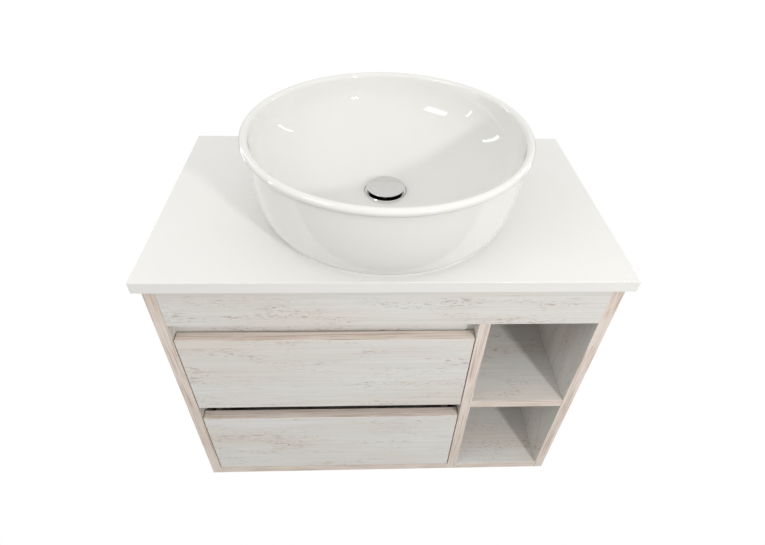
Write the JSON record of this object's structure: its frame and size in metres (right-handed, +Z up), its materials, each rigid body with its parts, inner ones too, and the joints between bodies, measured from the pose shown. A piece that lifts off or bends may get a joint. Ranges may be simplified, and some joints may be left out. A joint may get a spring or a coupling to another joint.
{
  "type": "vessel sink on vanity",
  "caption": "Wall-hung bathroom vanity: round vessel basin on a white worktop, handle-less sliding drawers and open side niches in limed wood.",
  "frame": {"origin": "middle of the hanging rail's back face, on the wall, on the cabinet's middle plane", "axes": "+X to the right as seen from the front, +Y into the wall (the front faces -Y), +Z up"},
  "size_m": [0.75, 0.4639, 0.719],
  "materials": {
    "worktop_white": "satin white solid surface",
    "basin_glaze": "glossy white glaze",
    "sealant_clear": "smooth off-white sealant",
    "chrome": "polished",
    "white_plastic": "smooth moulded white plastic",
    "black_rubber": "matte",
    "spring_steel": "bright wire",
    "limed_wood": "limed wood-grain facing, satin, pale grey with pinkish-brown flecks",
    "edge_band": "pinkish-beige edge band with fine grain",
    "drawer_grey": "pale grey faced board",
    "zinc_steel": "bright zinc-plated sheet",
    "zinc_cast": "die-cast zinc",
    "soft_bumper": "translucent soft plastic"
  },
  "bodies": {
    "root": {"apron": "limed_wood", "basin": "basin_glaze", "bottom_panel": "limed_wood", "cabinet_edge_bands": "edge_band", "cabinet_hangers": "zinc_steel", "cam_bolts": "zinc_steel", "cam_locks": "zinc_cast", "click_cartridge": "white_plastic", "divider": "limed_wood", "drawer_bay_back": "limed_wood", "drawer_bumpers": "soft_bumper", "fixing_screws": "zinc_steel", "foot_sealant": "sealant_clear", "grip_rail": "limed_wood", "hanging_rail": "limed_wood", "lower_rear_rail": "limed_wood", "niche_back": "limed_wood", "niche_shelf": "limed_wood", "plug_spring": "spring_steel", "runner_cabinet_members": "zinc_steel", "shelf_pins": "zinc_steel", "side_panel_left": "limed_wood", "side_panel_right": "limed_wood", "stop_blocks": "white_plastic", "trap_body": "white_plastic", "trap_cup": "white_plastic", "trap_inlet_nut": "white_plastic", "trap_inlet_pipe": "white_plastic", "trap_outlet_nut": "white_plastic", "wall_plates": "zinc_steel", "waste_backnut": "white_plastic", "waste_body": "chrome", "waste_bottom_seal": "black_rubber", "waste_pipe": "white_plastic", "waste_top_seal": "black_rubber", "worktop": "worktop_white", "worktop_brackets": "zinc_steel"},
    "plug": {"plug_cap": "chrome", "plug_seal": "black_rubber", "plug_stem": "white_plastic"},
    "upper_drawer": {"upper_back_left": "drawer_grey", "upper_back_right": "drawer_grey", "upper_bottom": "drawer_grey", "upper_cutout_lining": "drawer_grey", "upper_drawer_members": "zinc_steel", "upper_drawer_screws": "zinc_steel", "upper_front": "limed_wood", "upper_front_edge_bands": "edge_band", "upper_side_left": "drawer_grey", "upper_side_right": "drawer_grey"},
    "upper_runner": {"upper_intermediate_members": "zinc_steel"},
    "lower_drawer": {"lower_back": "drawer_grey", "lower_bottom": "drawer_grey", "lower_drawer_members": "zinc_steel", "lower_drawer_screws": "zinc_steel", "lower_front": "limed_wood", "lower_front_edge_bands": "edge_band", "lower_side_left": "drawer_grey", "lower_side_right": "drawer_grey"},
    "lower_runner": {"lower_intermediate_members": "zinc_steel"}
  },
  "joints": [
    {"name": "upper_drawer_slide", "type": "slide", "parent": "root", "child": "upper_drawer", "axis": [0, -1, 0], "range_m": [0, 0.34]},
    {"name": "upper_runner_slide", "type": "slide", "parent": "root", "child": "upper_runner", "axis": [0, -1, 0], "range_m": [0, 0.17]},
    {"name": "lower_drawer_slide", "type": "slide", "parent": "root", "child": "lower_drawer", "axis": [0, -1, 0], "range_m": [0, 0.34]},
    {"name": "lower_runner_slide", "type": "slide", "parent": "root", "child": "lower_runner", "axis": [0, -1, 0], "range_m": [0, 0.17]},
    {"name": "plug_press", "type": "slide", "parent": "root", "child": "plug", "axis": [0, 0, -1], "range_m": [0, 0.004], "stiffness_N_per_m": 400, "springref_m": -0.008, "deforming": ["plug_spring"]}
  ],
  "couplings": [
    {"joint": "upper_runner_slide", "follows": "upper_drawer_slide", "ratio": 0.5},
    {"joint": "lower_runner_slide", "follows": "lower_drawer_slide", "ratio": 0.5}
  ]
}
